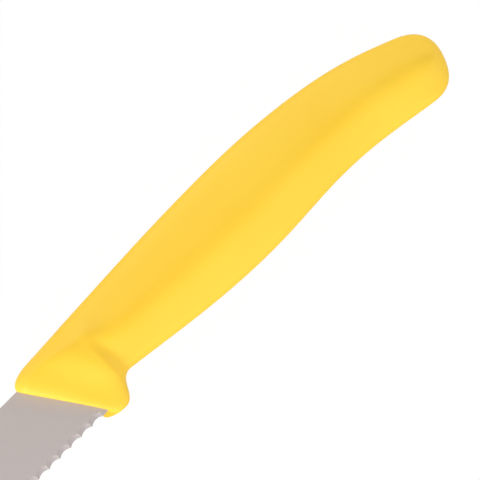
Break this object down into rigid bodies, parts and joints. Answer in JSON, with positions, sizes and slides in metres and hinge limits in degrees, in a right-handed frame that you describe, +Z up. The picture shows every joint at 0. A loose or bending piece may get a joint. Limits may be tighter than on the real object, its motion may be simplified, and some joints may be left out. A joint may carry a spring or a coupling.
{
  "type": "serrated kitchen knife",
  "caption": "Small kitchen knife with a slim round-tipped steel blade, a scalloped cutting edge and a curved moulded handle with a guard for the index finger.",
  "frame": {"origin": "middle of the underside of the whole knife, lying on its side", "axes": "+X along the blade towards the tip, +Y from the spine to the cutting edge, +Z up, out of the side with the ground scallops"},
  "size_m": [0.2194, 0.023, 0.014],
  "materials": {
    "blade_steel": "satin ground stainless steel",
    "handle_plastic": "satin moulded polypropylene, yellow"
  },
  "bodies": {
    "root": {"blade": "blade_steel", "handle": "handle_plastic"}
  },
  "joints": []
}
